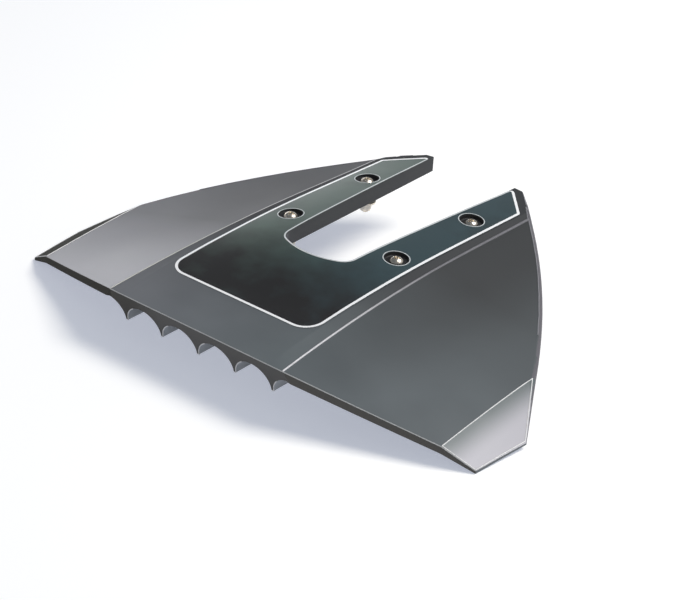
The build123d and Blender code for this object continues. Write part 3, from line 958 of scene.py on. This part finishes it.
def translucent_nylon():
    """Extruded nylon of the nuts' locking rings: milky, with a waxy sheen."""
    material, tree = new_material("Locking ring nylon")
    palette = colours()
    coords = add_node(tree, "ShaderNodeTexCoord")
    cloud = add_node(
        tree, "ShaderNodeTexNoise",
        inputs={"Vector": coords.outputs["Object"], "Scale": 1 / RING_CLOUD, "Detail": 2.0},
    )
    colour = add_node(
        tree, "ShaderNodeMix", {"data_type": "RGBA"},
        {"Factor": cloud.outputs["Fac"], MIX_A: palette.nut_ring, MIX_B: palette.nut_ring_pale},
    )
    shader = add_node(
        tree, "ShaderNodeBsdfPrincipled",
        inputs={
            "Base Color": colour.outputs[MIX_RESULT], "Roughness": 0.4, "IOR": 1.53,
            "Subsurface Weight": 0.1, "Subsurface Radius": (0.5 * MM, 0.5 * MM, 0.5 * MM),
        },
    )
    finish_material(tree, shader)
    return material


# Stage helpers

def pale_floor():
    """Plain matt floor: seen by the camera and in gloss it is near white, and it keeps the shadow."""
    material, tree = new_material("Pale floor")
    rays = add_node(tree, "ShaderNodeLightPath")
    seen = add_node(
        tree, "ShaderNodeMath", {"operation": "MAXIMUM"},
        {0: rays.outputs["Is Camera Ray"], 1: rays.outputs["Is Glossy Ray"]},
    )
    seen_through = add_node(
        tree, "ShaderNodeMath", {"operation": "MAXIMUM"},
        {0: seen.outputs[0], 1: rays.outputs["Is Transmission Ray"]},
    )
    lit = add_node(tree, "ShaderNodeBsdfDiffuse", inputs={"Color": colours().floor})
    half_lit = add_node(tree, "ShaderNodeBsdfDiffuse", inputs={"Color": linear(FLOOR_SEEN)})
    glow = add_node(tree, "ShaderNodeEmission", inputs={"Color": linear(FLOOR_GLOW), "Strength": 1.0})
    pale = add_node(tree, "ShaderNodeAddShader", inputs={0: half_lit.outputs[0], 1: glow.outputs[0]})
    surface = add_node(
        tree, "ShaderNodeMixShader",
        inputs={0: seen_through.outputs[0], 1: lit.outputs[0], 2: pale.outputs[0]},
    )
    add_node(tree, "ShaderNodeOutputMaterial", inputs={"Surface": surface.outputs[0]})
    return material


def area_light(name, location, target, size, power, colour):
    """A rectangular soft light aimed at a point."""
    start_fresh()
    bpy.ops.object.light_add(type="AREA", location=location)
    lamp = bpy.context.object
    lamp.name = name
    lamp.data.shape = "RECTANGLE"
    lamp.data.size, lamp.data.size_y = size
    lamp.data.energy = power
    lamp.data.color = colour
    lamp.rotation_euler = (Vector(target) - Vector(location)).to_track_quat("-Z", "Y").to_euler()


def pale_world(scene):
    """Plain soft light from all round, and white where the camera sees past the floor."""
    world = bpy.data.worlds.new("Pale world")
    scene.world = world
    world.use_nodes = True
    tree = world.node_tree
    tree.nodes.clear()
    rays = add_node(tree, "ShaderNodeLightPath")
    seen = add_node(
        tree, "ShaderNodeMath", {"operation": "MAXIMUM"},
        {0: rays.outputs["Is Camera Ray"], 1: rays.outputs["Is Transmission Ray"]},
    )
    coords = add_node(tree, "ShaderNodeTexCoord")
    heading = add_node(tree, "ShaderNodeSeparateXYZ", inputs={0: coords.outputs["Generated"]})
    height = add_node(
        tree, "ShaderNodeMapRange", {"interpolation_type": "SMOOTHSTEP"},
        {"Value": heading.outputs["Z"], "From Min": 0.12, "From Max": 0.5, "To Min": 0.0, "To Max": 1.0},
    )
    sky = add_node(
        tree, "ShaderNodeMix", {"data_type": "RGBA"},
        {"Factor": height.outputs[0], MIX_A: linear(SKY_LOW), MIX_B: linear(SKY_HIGH)},
    )
    soft = add_node(
        tree, "ShaderNodeBackground", inputs={"Color": sky.outputs[MIX_RESULT], "Strength": 0.9}
    )
    white = add_node(tree, "ShaderNodeBackground", inputs={"Color": linear("#ffffff"), "Strength": 1.0})
    surface = add_node(
        tree, "ShaderNodeMixShader", inputs={0: seen.outputs[0], 1: soft.outputs[0], 2: white.outputs[0]}
    )
    add_node(tree, "ShaderNodeOutputWorld", inputs={"Surface": surface.outputs[0]})


def add_camera(scene):
    """Camera that looks back along the given heading and tilt, with a small roll."""
    start_fresh()
    right = Vector((math.cos(CAMERA_HEADING), math.sin(CAMERA_HEADING), 0.0))
    back = Vector((
        math.sin(CAMERA_HEADING) * math.cos(CAMERA_TILT),
        -math.cos(CAMERA_HEADING) * math.cos(CAMERA_TILT),
        math.sin(CAMERA_TILT),
    ))
    up = back.cross(right)
    rolled_right = math.cos(CAMERA_ROLL) * right + math.sin(CAMERA_ROLL) * up
    rolled_up = math.cos(CAMERA_ROLL) * up - math.sin(CAMERA_ROLL) * right
    bpy.ops.object.camera_add(location=CAMERA_PLACE)
    camera = bpy.context.object
    camera.name = "camera"
    camera.rotation_euler = Matrix((rolled_right, rolled_up, back)).transposed().to_euler()
    camera.data.sensor_width = CAMERA_SENSOR
    camera.data.lens = CAMERA_LENS
    camera.data.clip_end = CAMERA_REACH
    scene.camera = camera


class HYDROFOIL_OT_stage(bpy.types.Operator):
    """Lay the pale floor and set the soft lights, the world and the camera"""

    bl_idname = "hydrofoil.stage"
    bl_label = "Stage"

    def execute(self, context):
        start_fresh()
        bpy.ops.mesh.primitive_plane_add(
            size=FLOOR_SIZE, location=(0.0, 0.0, CAD_BOX[0][2] - FLOOR_GAP)
        )
        floor = bpy.context.object
        floor.name = "floor"
        bpy.ops.object.transform_apply(location=True)
        dress(floor, pale_floor())
        for name, settings in LIGHTS.items():
            area_light(name, *settings)
        pale_world(context.scene)
        add_camera(context.scene)
        return {"FINISHED"}


class HYDROFOIL_OT_body(bpy.types.Operator):
    """Finish the moulded body"""

    bl_idname = "hydrofoil.body"
    bl_label = "Moulded body"

    def execute(self, context):
        dress(BODY, moulded_nylon())
        return {"FINISHED"}


class HYDROFOIL_OT_decal(bpy.types.Operator):
    """Finish the decal's gloss vinyl"""

    bl_idname = "hydrofoil.decal"
    bl_label = "Decal"

    def execute(self, context):
        dress(DECAL, gloss_vinyl())
        return {"FINISHED"}


class HYDROFOIL_OT_border(bpy.types.Operator):
    """Print the decal's white border, the finer line beside the slot and a ring round each recess"""

    bl_idname = "hydrofoil.border"
    bl_label = "Printed lines"

    def execute(self, context):
        white = printed_ink("Screen-printed white ink", colours().ink, 0.35)
        grey = printed_ink("Screen-printed pale grey ink", colours().line_ink, 0.4)
        printed_band("decal_border", sizes().border_width, lambda point: not beside_slot(point), white)
        printed_band("decal_slot_line", sizes().slot_line_width, beside_slot, grey)
        for corner, place in screw_places().items():
            recess_ring(f"recess_ring_{corner}", place, grey)
        return {"FINISHED"}


class HYDROFOIL_OT_beads(bpy.types.Operator):
    """Model the beads on the creases and round the tips, and the lines on the body's edges"""

    bl_idname = "hydrofoil.beads"
    bl_label = "Beads and edge lines"

    def execute(self, context):
        palette = colours()
        # Pale painted highlights on the beads, rims and edge lines
        pale = highlight_bead("Burnished nylon bead", palette.bead, palette.bead_front)
        warm = highlight_bead("Burnished nylon bead, port", palette.port_bead, palette.port_bead_front)
        rim = highlight_bead("Burnished nylon rim", palette.rim, palette.rim)
        fine = highlight_bead("Rubbed nylon edge", palette.edge_line, palette.edge_line_front)
        # The port bead is worn down to the size of a rim
        crease_bead("port", -1, sizes().rim_radius, sizes().rim_radius, warm)
        tip_rim("port", -1, rim)
        crease_bead("starboard", 1, sizes().bead_radius, sizes().bead_end_radius, pale)
        tip_rim("starboard", 1, rim)
        edge_line("trailing_edge_line", on_trailing_edge, sizes().line_radius, fine)
        edge_line("leading_edge_line", on_leading_edge, sizes().nose_line_radius, fine)
        edge_line("channel_rims", on_channel_rim, sizes().rim_radius, rim)
        return {"FINISHED"}


class HYDROFOIL_OT_fasteners(bpy.types.Operator):
    """Finish the screws, washers, lock nuts and their locking rings"""

    bl_idname = "hydrofoil.fasteners"
    bl_label = "Fasteners"

    def execute(self, context):
        finishes = {
            "bolt": turned_steel("Polished stainless screw", 0.27, 0.4 * MM),
            "washer": turned_steel("Stamped stainless washer", 0.3, 0.5 * MM),
            "lock_nut": turned_steel("Stainless lock nut", 0.26, 0.35 * MM),
            "nut_insert": translucent_nylon(),
        }
        for group, material in finishes.items():
            for corner in CORNERS:
                dress(NODES[f"{group}_{corner}"], material)
        return {"FINISHED"}


STEPS = (
    HYDROFOIL_OT_stage,
    HYDROFOIL_OT_body,
    HYDROFOIL_OT_decal,
    HYDROFOIL_OT_border,
    HYDROFOIL_OT_beads,
    HYDROFOIL_OT_fasteners,
)


class HYDROFOIL_PT_panel(bpy.types.Panel):
    """Sidebar panel with the steps, sizes and colours"""

    bl_label = "Hydrofoil"
    bl_idname = "HYDROFOIL_PT_panel"
    bl_space_type = "VIEW_3D"
    bl_region_type = "UI"
    bl_category = "Hydrofoil"

    def draw(self, context):
        for step in STEPS:
            self.layout.operator(step.bl_idname)
        for group in (context.scene.hydrofoil_sizes, context.scene.hydrofoil_colours):
            box = self.layout.box()
            for key in group.__annotations__:
                box.prop(group, key)


CLASSES = (HydrofoilSizes, HydrofoilColours) + STEPS + (HYDROFOIL_PT_panel,)


def register():
    for cls in CLASSES:
        bpy.utils.register_class(cls)
    bpy.types.Scene.hydrofoil_sizes = bpy.props.PointerProperty(type=HydrofoilSizes)
    bpy.types.Scene.hydrofoil_colours = bpy.props.PointerProperty(type=HydrofoilColours)


def unregister():
    del bpy.types.Scene.hydrofoil_colours
    del bpy.types.Scene.hydrofoil_sizes
    for cls in reversed(CLASSES):
        bpy.utils.unregister_class(cls)


def main():
    register()
    scene = bpy.context.scene
    scene.view_settings.view_transform = "Standard"
    bpy.ops.hydrofoil.stage()
    bpy.ops.hydrofoil.body()
    bpy.ops.hydrofoil.decal()
    bpy.ops.hydrofoil.border()
    bpy.ops.hydrofoil.beads()
    bpy.ops.hydrofoil.fasteners()


if __name__ == "__main__":
    main()
